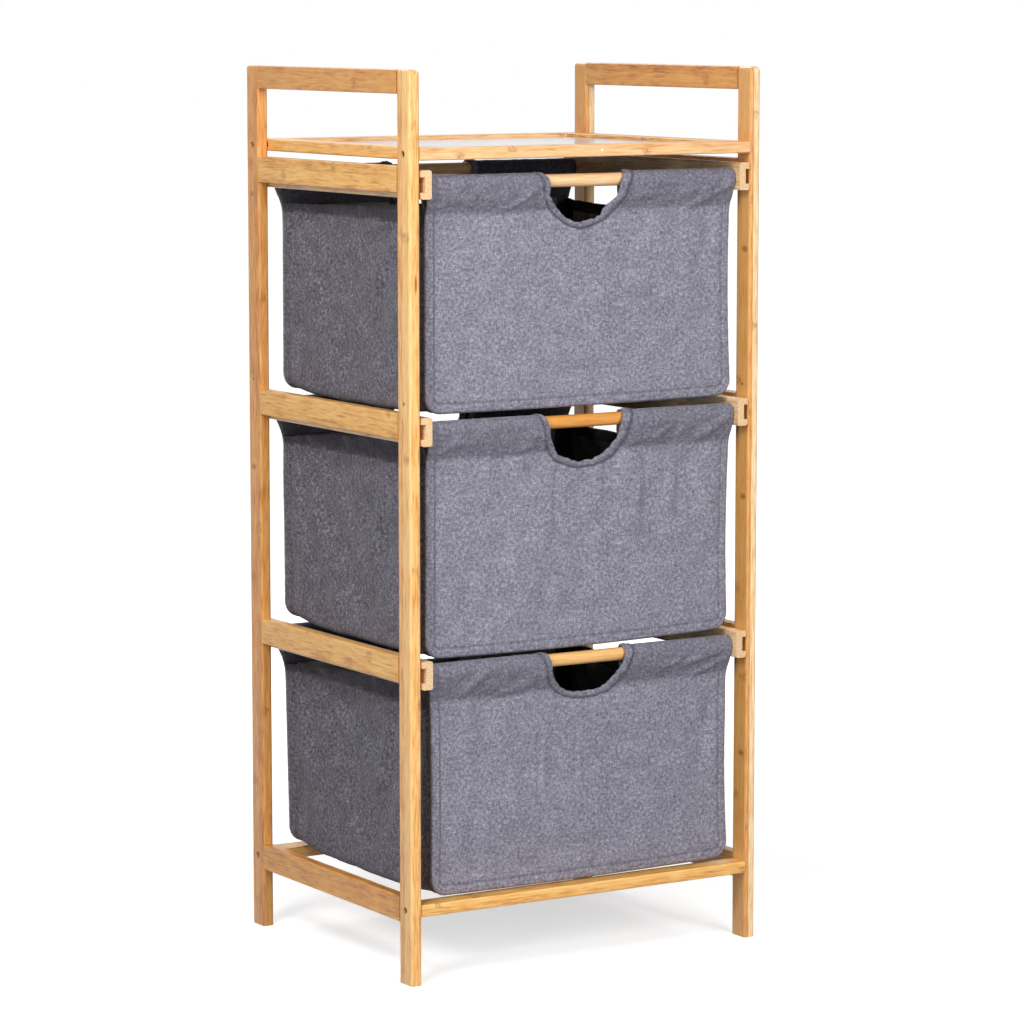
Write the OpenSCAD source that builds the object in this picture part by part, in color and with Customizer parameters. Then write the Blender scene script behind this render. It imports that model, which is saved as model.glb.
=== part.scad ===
// Laundry hamper organizer: a bamboo rack with three sliding fabric hampers.
// Millimetres. The front faces -Y, the origin is on the floor under the middle of the rack.

/* [Rack] */
// Overall width across the two side frames
rack_w = 440; // [380:10:560]
// Overall depth, front to back
rack_d = 355; // [300:5:420]
// Height of the top edge of the lowest side rails
base_rail_top = 93; // [60:1:140]
// Distance from one tier's side rails to the next
tier_pitch = 256; // [240:1:320]
// Height of the handles above the shelf
handle_rise = 80; // [60:1:120]

/* [Bamboo stock] */
// Thickness of the posts, rails and strips
stock_t = 13; // [11:0.5:18]
// Width of the posts and of the cross rails
stock_w = 26; // [22:1:36]
// Height of the side rails
rail_h = 28; // [22:1:40]
// Height of the handle rails at the top
handle_h = 25; // [20:1:36]
// Rounding of the long edges of the posts
post_round = 3; // [1:0.5:5]
// Rounding of the post tops, seen from the side
post_top_round = 6.5; // [3:0.5:10]
// Rounding of the post tops, seen from the front: their outer edge
post_face_round = 3; // [1:0.5:5]
// Rounding of the post tops, seen from the front: their inner edge
post_inner_round = 5.5; // [1:0.5:5.5]
// Rounding of the long edges of the rails
rail_round = 2; // [0.5:0.5:4]

/* [Joinery] */
// Length of the tenons on the side rails
tenon_len = 9; // [6:1:12]
// Thickness of the tenons
tenon_t = 6; // [4:0.5:7]
// Height that each tenon steps in from the rail's edges
tenon_step = 4; // [2:0.5:6]
// Clearance of a tenon or tongue in its slot
joint_fit = 0.1; // [0.05:0.05:0.3]

/* [Shelf and base] */
// Gap between the top side rails and the shelf frame
shelf_gap = 6; // [3:1:20]
// Thickness of the shelf panel
panel_t = 4; // [3:0.5:6]
// Depth of the panel's face below the shelf frame
panel_recess = 4; // [2:0.5:5]
// Depth of the grooves that hold the panel
panel_groove = 6; // [4:0.5:8]
// Play of the panel in the depth of its grooves
panel_play = 0.4; // [0.2:0.1:1]
// Drop of the base cross rails below the lowest side rails
base_cross_drop = 7; // [4:1:14]

/* [Bolts and screws] */
// Diameter of the bolt heads
bolt_head_d = 7; // [6:0.5:9]
// Height of the bolt heads
bolt_head_h = 4; // [3:0.5:5]
// Depth of the bolt heads below the face of the post
bolt_sink = 2.5; // [1:0.5:4]
// Diameter of the bolt shanks
bolt_d = 4; // [3:0.5:6]
// Length of the bolts under the head
bolt_len = 42; // [30:1:60]
// Width across the flats of the hexagon socket in each bolt
bolt_socket = 3; // [2.5:0.5:4]
// Depth of that socket
bolt_socket_depth = 2.4; // [1.5:0.1:3]
// Diameter of the screw heads
screw_head_d = 6.6; // [5:0.2:8]
// Diameter of the screw shanks
screw_d = 3.4; // [2.8:0.2:4]
// Length of the screws that hold the runners
runner_screw_len = 14; // [11:1:16]
// Length of the screws that hold the dowels
dowel_screw_len = 24; // [16:1:36]
// Radial clearance of a bolt or screw in its hole
screw_fit = 0.1; // [0.05:0.05:0.3]

/* [Slide bars] */
// Height of the slide bars
bar_h = 30; // [26:1:36]
// Thickness of the slide bars
bar_t = 13; // [12:0.5:18]
// Rounding of the long edges of the slide bars
bar_round = 2.5; // [0.5:0.5:3.5]
// Height of the groove along each slide bar
groove_h = 16; // [12:1:18]
// Depth of the groove along each slide bar
groove_depth = 5; // [4:0.5:6]
// Drop of the slide bars below the top of the side rails
bar_drop = 4; // [2:1:8]
// Gap between a slide bar and the posts
bar_play = 1; // [0.6:0.1:2]
// Height of the runners
runner_h = 14; // [9:0.5:15]
// Gap between the face of a runner and the bottom of the groove
runner_face_gap = 1; // [0.5:0.1:2]
// Gap between the top of a runner and the roof of the groove
runner_top_gap = 0.3; // [0.2:0.1:0.6]
// Distance of the runner screws from the middle
runner_screw_y = 105; // [60:5:120]

/* [Dowels] */
// Diameter of the dowels that carry the bags
dowel_d = 14; // [12:0.5:18]
// Distance of the dowels from the ends of the slide bars
dowel_inset = 17.5; // [14:0.5:30]
// Depth of the dowel sockets in the slide bars
dowel_socket = 5; // [3:0.5:6]
// Radial clearance of a dowel in its socket
dowel_fit = 0.1; // [0.05:0.05:0.3]
// Gap between the end of a dowel and the bottom of its socket
dowel_end_gap = 0.2; // [0.1:0.1:0.6]

/* [Bags] */
// Depth of a bag below its dowels
bag_drop = 238; // [180:1:244]
// Thickness of the bag cloth with its lining
cloth_t = 2; // [1.2:0.1:3]
// Gap between a bag and the slide bars
bag_side_gap = 2; // [1:0.5:6]
// Width of the seam lip around the front and back panels
seam_lip = 2; // [1:0.5:4]
// Rounding of the bottom corners of the panels
bag_corner_r = 18; // [8:1:40]
// Height of the sleeve that the dowel runs through, below the dowel
sleeve_h = 33; // [22:1:50]
// Clearance of the dowel in the sleeve
sleeve_fit = 0.3; // [0.2:0.1:1]
// Gap between the ends of a sleeve and the slide bars
sleeve_end_gap = 0.5; // [0.3:0.1:1.5]
// Width of the hand cut-outs
hand_w = 88; // [70:2:130]
// Depth of the hand cut-outs below the dowel
hand_depth = 45; // [34:1:70]
// Rounding of the bottom corners of the hand cut-outs
hand_r = 30; // [15:1:34]
// Width of the binding around the hand cut-outs
binding_w = 9; // [5:0.5:12]
// Height of the binding above the cloth
binding_proud = 0.8; // [0.4:0.1:1.5]
// Drop of the side edges below the dowels at the corners
side_edge_drop = 5; // [2:1:7]
// Further sag of the side edges at the middle
side_edge_sag = 20; // [6:1:30]

/* [Hidden] */
$fn = 48;
far = 40;
bamboo = "#DDB47E";
bamboo_light = "#E8C592";
heather_grey = "#6C6A76";
panel_white = "#F1F2F6";
bolt_black = "#2B2826";
screw_zinc = "#B9B4A6";
// Distances from the middle of the rack to the faces of the side frames, bars and bags
frame_x = rack_w / 2;
inner_x = frame_x - stock_t;
bar_x = inner_x - bar_play;
bar_inner_x = bar_x - bar_t;
bag_x = bar_inner_x - bag_side_gap;
post_y = (rack_d - stock_w) / 2;
rail_len = rack_d - 2 * stock_w;
cross_len = 2 * inner_x;
// Heights of the shelf, the handles and the base
shelf_z = base_rail_top + 3 * tier_pitch + shelf_gap;
shelf_top = shelf_z + stock_t;
rack_h = shelf_top + handle_rise;
base_cross_top = base_rail_top - base_cross_drop;
panel_z = shelf_top - panel_recess - panel_t;
// Heights of the middles of the cross rails, which are bolted between the side frames
cross_heights = [shelf_z + stock_t / 2, base_cross_top - stock_t / 2];
strip_w = stock_w;
strip_x = inner_x - strip_w / 2;
// Slide bars, runners and dowels
runner_t = groove_depth + bar_play - runner_face_gap;
dowel_y = rack_d / 2 - dowel_inset;
dowel_len = 2 * (bar_inner_x + dowel_socket - dowel_end_gap);
web_t = bar_t - groove_depth;
sleeve_r = dowel_d / 2 + sleeve_fit + cloth_t;
screw_head_h = (screw_head_d - screw_d) / 2;

// Tiers count down from the top: 1, 2, 3, and 4 is the base
function rail_top(tier) = base_rail_top + (4 - tier) * tier_pitch;
function bar_z(tier) = rail_top(tier) - bar_drop - bar_h / 2;

// Rectangle with rounded corners, centred
module rounded_rect(w, h, r) {
    square([w - 2 * r, h], center = true);
    square([w, h - 2 * r], center = true);
    for (x = [-1, 1], y = [-1, 1])
        translate([x * (w / 2 - r), y * (h / 2 - r)]) circle(r = r);
}

// Stands a flat XZ outline up and extrudes it along Y, centred
module along_y(length) {
    rotate([90, 0, 0]) linear_extrude(height = length, center = true) children();
}

// Stands a flat YZ outline up and extrudes it along X, centred
module along_x(length) {
    rotate([90, 0, 90]) linear_extrude(height = length, center = true) children();
}

// Round bar along X, from x = 0 towards +X
module rod_x(d, length) {
    rotate([0, 90, 0]) cylinder(d = d, h = length);
}

// Countersunk screw along +X with its head's face at x = 0, larger by grow all round
module screw(length, grow) {
    rotate([0, 90, 0]) {
        cylinder(d1 = screw_head_d + 2 * grow, d2 = screw_d + 2 * grow, h = screw_head_h);
        cylinder(d = screw_d + 2 * grow, h = length + grow);
    }
}

// Mortise in a post for a rail of height h whose middle is at z
module mortise(z, h, toward) {
    depth = tenon_len + joint_fit;
    translate([0, toward * (stock_w - depth) / 2, z])
        cube([tenon_t + 2 * joint_fit, depth, h - 2 * tenon_step + 2 * joint_fit], center = true);
}

// Stepped hole for the bolt at height z, drilled in from the outer face of a side frame
module bolt_hole(side, end, z) {
    translate([side * frame_x, end * post_y, z]) scale([-side, 1, 1]) {
        rod_x(bolt_head_d + 2 * screw_fit, bolt_sink + bolt_head_h);
        rod_x(bolt_d + 2 * screw_fit, stock_t);
    }
}

// What is cut off to round the upper corner of an outline, on the side that toward says
module corner_waste(half, top, r, toward) {
    translate([toward * (half - r), top - r]) scale([toward, 1]) difference() {
        square(r + 1);
        circle(r = r);
    }
}

// Corner post: side is -1 left or 1 right, end is -1 front or 1 rear
module post(side, end) {
    color(bamboo) difference() {
        translate([side * (frame_x - stock_t / 2), end * post_y, 0]) difference() {
            linear_extrude(height = rack_h) rounded_rect(stock_t, stock_w, post_round);
            along_x(stock_t + 2) corner_waste(stock_w / 2, rack_h, post_top_round, end);
            for (x = [-1, 1]) {
                r = x == side ? post_face_round : post_inner_round;
                along_y(stock_w + 2) corner_waste(stock_t / 2, rack_h, r, x);
            }
            mortise(rack_h - handle_h / 2, handle_h, -end);
            for (tier = [1:4]) mortise(rail_top(tier) - rail_h / 2, rail_h, -end);
        }
        for (z = cross_heights) bolt_hole(side, end, z);
    }
}

// Rail of a side frame, height h, top edge at z, with a tenon at each end
module side_rail(side, z, h) {
    color(bamboo_light) translate([side * (frame_x - stock_t / 2), 0, z - h / 2]) {
        along_y(rail_len) rounded_rect(stock_t, h, rail_round);
        cube([tenon_t, rail_len + 2 * tenon_len, h - 2 * tenon_step], center = true);
    }
}

// The side rails of tiers 1 to 3 also take the screws of their runners
module tier_rail(side, tier) {
    difference() {
        side_rail(side, rail_top(tier), rail_h);
        runner_screws_at(side, tier, screw_fit);
    }
}

// The base side rails lie level with the base bolts, which may reach their tenons
module base_side_rail(side) {
    difference() {
        side_rail(side, rail_top(4), rail_h);
        for (end = [-1, 1]) bolt_hole(side, end, cross_heights[1]);
    }
}

// Runner on the inner face of a side rail, which carries a slide bar
module runner(side, tier) {
    top = bar_z(tier) + groove_h / 2 - runner_top_gap;
    color(bamboo) difference() {
        translate([side * (inner_x - runner_t / 2), 0, top - runner_h / 2])
            cube([runner_t, rail_len, runner_h], center = true);
        runner_screws_at(side, tier, screw_fit);
    }
}

// The two screws of one runner, their heads flush with its face
module runner_screws_at(side, tier, grow) {
    z = bar_z(tier) + groove_h / 2 - runner_top_gap - runner_h / 2;
    for (y = [-1, 1])
        translate([side * (inner_x - runner_t), y * runner_screw_y, z])
            scale([side, 1, 1]) screw(runner_screw_len, grow);
}

module runner_screws() {
    color(screw_zinc)
        for (side = [-1, 1], tier = [1:3]) runner_screws_at(side, tier, 0);
}

// Cross rail between the side frames, its middle at z, bored at both ends for the bolts
module cross_rail(end, z) {
    bore_depth = bolt_sink + bolt_head_h + bolt_len - stock_t + 1;
    color(bamboo_light) translate([0, end * post_y, z]) difference() {
        along_x(cross_len) rounded_rect(stock_w, stock_t, rail_round);
        for (side = [-1, 1])
            translate([side * (inner_x + 1), 0, 0]) scale([-side, 1, 1])
                rod_x(bolt_d + 2 * screw_fit, bore_depth + 1);
    }
}

// Front or rear rail of the shelf, grooved for the panel along its inner edge
module shelf_rail(end) {
    difference() {
        cross_rail(end, cross_heights[0]);
        color(bamboo_light)
            translate([0, end * (rail_len + panel_groove) / 2, panel_z + panel_t / 2])
                cube([cross_len + 2, panel_groove, panel_t + 2 * joint_fit], center = true);
    }
}

// Strip along one side of the shelf, with the panel's groove and a tongue at each end
module shelf_strip(side) {
    tongue = panel_groove - panel_play;
    color(bamboo_light) translate([side * strip_x, 0, 0]) difference() {
        union() {
            translate([0, 0, cross_heights[0]])
                along_y(rail_len) rounded_rect(strip_w, stock_t, rail_round);
            translate([0, 0, panel_z + panel_t / 2])
                cube([strip_w - 2 * rail_round, rail_len + 2 * tongue, panel_t], center = true);
        }
        translate([-side * (strip_w - panel_groove + 1) / 2, 0, panel_z + panel_t / 2])
            cube([panel_groove + 1, rail_len + 2 * panel_groove, panel_t + 2 * joint_fit],
                center = true);
    }
}

module shelf_panel() {
    grip = 2 * (panel_groove - panel_play);
    color(panel_white) translate([0, 0, panel_z + panel_t / 2])
        cube([2 * (inner_x - strip_w) + grip, rail_len + grip, panel_t], center = true);
}

// Socket-head bolts that clamp the cross rails between the side frames
module frame_bolts() {
    color(bolt_black)
        for (side = [-1, 1], end = [-1, 1], z = cross_heights)
            translate([side * (frame_x - bolt_sink), end * post_y, z]) scale([-side, 1, 1])
                difference() {
                    union() {
                        rod_x(bolt_head_d, bolt_head_h);
                        rod_x(bolt_d, bolt_head_h + bolt_len);
                    }
                    translate([-1, 0, 0]) rotate([0, 90, 0])
                        cylinder(d = bolt_socket / cos(30), h = bolt_socket_depth + 1, $fn = 6);
                }
}

// Slide bar with the groove that runs over the runner and two dowel sockets
module slide_bar(side, tier) {
    color(bamboo_light) difference() {
        translate([side * (bar_x - bar_t / 2), 0, bar_z(tier)]) difference() {
            along_y(rack_d) rounded_rect(bar_t, bar_h, bar_round);
            translate([side * (bar_t - groove_depth + 1) / 2, 0, 0])
                cube([groove_depth + 1, rack_d + 2, groove_h], center = true);
            for (end = [-1, 1])
                translate([-side * bar_t / 2, end * dowel_y, 0]) scale([side, 1, 1])
                    translate([-1, 0, 0]) rod_x(dowel_d + 2 * dowel_fit, dowel_socket + 1);
        }
        dowel_screws_at(side, tier, screw_fit);
    }
}

// The two screws of one slide bar, from the bottom of its groove into the dowels
module dowel_screws_at(side, tier, grow) {
    for (end = [-1, 1])
        translate([side * (bar_inner_x + web_t), end * dowel_y, bar_z(tier)])
            scale([-side, 1, 1]) screw(dowel_screw_len, grow);
}

module dowel_screws(tier) {
    color(screw_zinc) for (side = [-1, 1]) dowel_screws_at(side, tier, 0);
}

module dowel(end, tier) {
    color(bamboo) difference() {
        translate([-dowel_len / 2, end * dowel_y, bar_z(tier)]) rod_x(dowel_d, dowel_len);
        for (side = [-1, 1]) dowel_screws_at(side, tier, screw_fit);
    }
}

// Front view of a bag, the bottom corners rounded, inset by gap, its upper edge at top
module bag_outline(gap, top) {
    half = bag_x - gap;
    r = max(bag_corner_r - gap, 1);
    bottom = -bag_drop + gap;
    translate([-half, bottom + r]) square([2 * half, top - bottom - r]);
    translate([-half + r, bottom]) square([2 * (half - r), r + 1]);
    for (x = [-1, 1]) translate([x * (half - r), bottom + r]) circle(r = r);
}

// Outline of a hand cut-out, larger by grow all round, its upper edge at top
module hand_outline(grow, top) {
    half = hand_w / 2 + grow;
    r = hand_r + grow;
    bottom = -hand_depth - grow;
    translate([-half, bottom + r]) square([2 * half, top - bottom - r]);
    intersection() {
        union() {
            translate([-half + r, bottom]) square([2 * (half - r), r + 1]);
            for (x = [-1, 1]) translate([x * (half - r), bottom + r]) circle(r = r);
        }
        translate([-half, bottom]) square([2 * half, top - bottom]);
    }
}

// Side view of a sleeve: round over the dowel, its two layers meeting at the seam
module sleeve_outline() {
    shoulder = 0.8 * sleeve_r;
    circle(r = sleeve_r);
    polygon([[-shoulder, 0], [-cloth_t / 2, -sleeve_h], [cloth_t / 2, -sleeve_h], [shoulder, 0]]);
}

// Front or back panel with its sleeve and the binding of the hand cut-out
module bag_panel() {
    along_y(cloth_t) bag_outline(0, 0);
    along_x(2 * (bar_inner_x - sleeve_end_gap)) sleeve_outline();
    along_y(cloth_t + 2 * binding_proud) hand_outline(binding_w, 0);
    along_x(hand_w + 2 * binding_w) circle(r = sleeve_r + binding_proud);
}

// Strip that makes the sides and the bottom, with the sagging upper edges
module bag_gusset() {
    sag_w = dowel_y - sleeve_r / 2;
    sag_r = (sag_w * sag_w + side_edge_sag * side_edge_sag) / (2 * side_edge_sag);
    low = -side_edge_drop - side_edge_sag;
    difference() {
        along_y(2 * dowel_y) difference() {
            bag_outline(seam_lip, 0);
            bag_outline(seam_lip + cloth_t, cloth_t);
        }
        along_x(2 * bag_x) intersection() {
            translate([0, low + sag_r]) circle(r = sag_r, $fn = 240);
            translate([-sag_w, low - 1]) square([2 * sag_w, far - low]);
        }
    }
}

module bag(tier) {
    color(heather_grey) translate([0, 0, bar_z(tier)]) difference() {
        union() {
            bag_gusset();
            for (end = [-1, 1]) translate([0, end * dowel_y, 0]) bag_panel();
        }
        for (end = [-1, 1]) translate([0, end * dowel_y, 0]) {
            along_x(2 * bar_inner_x) circle(r = dowel_d / 2 + sleeve_fit);
            along_y(far) hand_outline(0, far);
        }
    }
}

post(-1, -1);  // left_front_post
post(-1, 1);  // left_rear_post
post(1, -1);  // right_front_post
post(1, 1);  // right_rear_post
side_rail(-1, rack_h, handle_h);  // left_handle_rail
side_rail(1, rack_h, handle_h);  // right_handle_rail
tier_rail(-1, 1);  // left_side_rail_1
tier_rail(-1, 2);  // left_side_rail_2
tier_rail(-1, 3);  // left_side_rail_3
base_side_rail(-1);  // left_base_side_rail
tier_rail(1, 1);  // right_side_rail_1
tier_rail(1, 2);  // right_side_rail_2
tier_rail(1, 3);  // right_side_rail_3
base_side_rail(1);  // right_base_side_rail
runner(-1, 1);  // left_runner_1
runner(-1, 2);  // left_runner_2
runner(-1, 3);  // left_runner_3
runner(1, 1);  // right_runner_1
runner(1, 2);  // right_runner_2
runner(1, 3);  // right_runner_3
shelf_rail(-1);  // shelf_front_rail
shelf_rail(1);  // shelf_rear_rail
shelf_strip(-1);  // shelf_left_strip
shelf_strip(1);  // shelf_right_strip
shelf_panel();
cross_rail(-1, cross_heights[1]);  // base_front_rail
cross_rail(1, cross_heights[1]);  // base_rear_rail
frame_bolts();
runner_screws();
slide_bar(-1, 1);  // left_bar_1
slide_bar(1, 1);  // right_bar_1
dowel(-1, 1);  // front_dowel_1
dowel(1, 1);  // rear_dowel_1
bag(1);  // bag_1
dowel_screws(1);  // dowel_screws_1
slide_bar(-1, 2);  // left_bar_2
slide_bar(1, 2);  // right_bar_2
dowel(-1, 2);  // front_dowel_2
dowel(1, 2);  // rear_dowel_2
bag(2);  // bag_2
dowel_screws(2);  // dowel_screws_2
slide_bar(-1, 3);  // left_bar_3
slide_bar(1, 3);  // right_bar_3
dowel(-1, 3);  // front_dowel_3
dowel(1, 3);  // rear_dowel_3
bag(3);  // bag_3
dowel_screws(3);  // dowel_screws_3
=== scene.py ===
"""Laundry hamper organizer: a bamboo rack with three sewn hampers on slide bars."""

import math

import bpy
import numpy as np
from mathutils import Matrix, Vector


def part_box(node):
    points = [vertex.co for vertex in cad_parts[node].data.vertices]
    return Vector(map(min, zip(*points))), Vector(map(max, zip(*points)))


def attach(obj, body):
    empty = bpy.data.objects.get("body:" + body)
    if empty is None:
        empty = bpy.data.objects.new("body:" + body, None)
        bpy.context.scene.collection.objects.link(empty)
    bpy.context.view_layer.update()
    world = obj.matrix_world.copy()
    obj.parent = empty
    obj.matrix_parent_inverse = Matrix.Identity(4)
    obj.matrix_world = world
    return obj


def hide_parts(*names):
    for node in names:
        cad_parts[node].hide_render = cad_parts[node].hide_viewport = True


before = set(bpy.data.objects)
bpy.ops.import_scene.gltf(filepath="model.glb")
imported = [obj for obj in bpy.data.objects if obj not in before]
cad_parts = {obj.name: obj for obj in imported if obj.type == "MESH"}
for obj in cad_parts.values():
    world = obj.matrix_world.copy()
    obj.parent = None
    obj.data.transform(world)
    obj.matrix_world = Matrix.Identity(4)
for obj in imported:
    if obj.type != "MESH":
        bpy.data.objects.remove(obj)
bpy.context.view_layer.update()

MM = 0.001

# Sizes in millimetres

PANEL_HALF = 190.3  # half width of the front and back panels
SLEEVE_HALF = 192.2  # half width of a sleeve, which ends just short of the slide bars
PANEL_BOTTOM = -238.0  # bottom seam below the dowel's middle
CORNER = 18.0  # rounding of the bottom corners
SLEEVE_SEAM = -31.0  # seam under the dowel that closes the sleeve
SLEEVE_WIDE, SLEEVE_HIGH = 10.2, 8.3  # half width and half height of the cloth round the dowel
CLOTH = 1.5  # thickness of the lined cloth
HEM = -41.0  # height of the hem's seam on the sides, from the dowel's middle
SEAM_INSET = 10.5  # distance of the topstitching from a panel's edges
SIDE_INSET = 13.0  # the same on the sides
TAPE = 9.0  # width of the binding on each face
TAPE_FOLD, TAPE_THICK = 1.2, 0.5  # radius of its fold at the edge, and its thickness
STITCH, STITCH_SHARE = 3.2, 0.72  # length of one stitch with its gap, and the thread's share
THREAD_WIDE, THREAD_HIGH = 0.62, 0.50
ON_CLOTH, ON_TAPE = CLOTH / 2 + 0.12, 1.55  # height of stitches from the middle of the cloth
HAND_HALF = 45.0  # half width of the hand cut-out at the dowel
HAND_FLARE = 6.0  # how much wider that is where its edges go over the dowel
HAND_TRIM = 0.6  # how far the cloth is cut back from that edge, inside the binding
PANEL_GRID, GUSSET_GRID, TAPE_GRID = 2.4, 3.0, 1.2  # spacing of the places on each flat cut
PULL_BELOW, PULL_ABOVE = 19.0, 75.0  # reach of a pull line on its steep and on its slow side

# What differs from one hamper to the next, as its cloth happens to hang:
# hand         cut-out: its middle, how far it reaches below the dowel, and how square it is
# bottom_drop  how far the front's bottom edge hangs down at its left, middle and right
# side_drop    how far the bottom's two long folds hang down between the panels
# side_edges   height of the left and right upper edges: at the back, middle and front
# corners_in   how far the four upright seams lean in: back left, back right, front left and
#              front right, each at its top, middle and bottom
# creases      on the front: start and end, as places on the flat cut, then height and width
HAMPERS = {
    1: {
        "hand": (0.5, 46.0, 1.85),
        "bottom_drop": (1.5, 2.0, 0.0),
        "side_drop": 4.0,
        "side_edges": ((-33.0, -29.0, -20.0), (-36.5, -41.5, -36.0)),
        "corners_in": ((5.0, 4.8, 4.5), (3.0, 3.0, 3.0), (-1.4, -1.2, -1.2), (-1.6, -0.5, -4.8)),
        "creases": (
            (-54, 27, -93, 3, 2.4, 3.2),
            (-60, 9, -82, 3, 1.3, 2.4),
            (186, 25, 138, 0, 2.8, 5.0),
            (174, 31, 150, 16, 1.3, 4.0),
            (66, 12, 102, 17, 0.9, 4.0),
            (-186, 5, -150, 17, 1.2, 5.0),
            (172, -20, 150, -64, -1.0, 6.0),
            (-26, -50, -30, -150, 0.7, 14.0),
        ),
        "seed": 11,
    },
    2: {
        "hand": (1.5, 44.5, 2.3),
        "bottom_drop": (3.5, 5.2, 1.0),
        "side_drop": 5.0,
        "side_edges": ((-35.5, -20.5, -10.0), (-37.0, -43.0, -37.0)),
        "corners_in": ((4.0, 4.2, 4.5), (4.0, 3.5, 3.0), (-1.0, -1.0, -1.8), (-2.8, 0.2, -2.4)),
        "creases": (
            (116, 24, 84, 3, 1.9, 4.2),
            (184, 28, 146, 3, 2.8, 6.0),
            (-56, 9, -92, 2, 1.5, 3.2),
            (-184, 4, -150, 20, 1.3, 5.0),
            (58, 4, 86, 10, 1.1, 4.0),
            (-32, -22, -31, -82, -1.1, 3.0),
            (30, -24, 31, -66, -0.9, 4.0),
            (76, -18, 72, -96, 1.2, 6.0),
            (121, -14, 116, -86, 1.1, 6.0),
        ),
        "seed": 23,
    },
    3: {
        "hand": (4.5, 39.0, 2.2),
        "bottom_drop": (2.5, 3.6, 1.5),
        "side_drop": 5.2,
        "side_edges": ((-35.0, -22.5, -10.0), (-37.0, -45.0, -38.0)),
        "corners_in": ((4.0, 6.2, 8.5), (3.0, 4.0, 5.0), (4.6, 5.6, 5.2), (-1.0, 0.0, -4.4)),
        "creases": (
            (178, 29, 128, 14, 2.7, 4.6),
            (134, 27, 97, 9, 2.1, 3.8),
            (184, 18, 146, 0, 2.4, 4.6),
            (-124, 27, -155, 3, 1.7, 5.0),
            (-68, 6, -112, 2, 1.2, 4.0),
            (-50, -32, -51, -118, -1.0, 3.0),
            (-4, -34, -5, -128, -1.1, 3.0),
            (176, -22, 154, -112, -2.0, 11.0),
        ),
        "seed": 37,
    },
}

# The back panels, which the photograph doesn't show, all have this cut-out and bottom edge
REAR_HAND, REAR_DROP = (-3.0, 47.0, 2.5), (0.0, 1.5, 0.0)


# Materials


def colour(code):
    """sRGB hex value as a linear colour."""
    parts = [int(code[i : i + 2], 16) / 255 for i in (1, 3, 5)]
    return [c / 12.92 if c <= 0.04045 else ((c + 0.055) / 1.055) ** 2.4 for c in parts] + [1.0]


def add(tree, kind, *values, **settings):
    """Adds a shader node. The values fill its inputs in order, and None leaves one alone.
    A setting with a capital names an input. A node given as a value stands for its output."""
    node = tree.nodes.new("ShaderNode" + kind)
    named = {}
    for key, value in settings.items():
        if key == "stops":
            ramp = node.color_ramp
            while len(ramp.elements) < len(value):
                ramp.elements.new(0.5)
            for element, (position, code) in zip(ramp.elements, value):
                element.position = position
                element.color = colour(code)
        elif key[0].isupper():
            named[key.replace("_", " ")] = value
        else:
            setattr(node, key, value)
    open_inputs = [s for s in node.inputs if s.enabled]
    for socket, value in [*zip(open_inputs, values), *((node.inputs[k], v) for k, v in named.items())]:
        if value is None:
            continue
        if isinstance(value, bpy.types.Node):
            value = next(s for s in value.outputs if s.enabled)
        if isinstance(value, bpy.types.NodeSocket):
            tree.links.new(value, socket)
        else:
            socket.default_value = colour(value) if isinstance(value, str) else value
    return node


def empty_material(name):
    """A material with nothing in it but its output."""
    material = bpy.data.materials.new(name)
    material.use_nodes = True
    material.node_tree.nodes.clear()
    return material, material.node_tree


def drawn_out(tree, place, along, share):
    """The places with all but one axis scaled up, which draws a pattern out along that axis."""
    scale = [1 if axis == along else share for axis in "XYZ"]
    return add(tree, "VectorMath", place, scale, operation="MULTIPLY")


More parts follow.
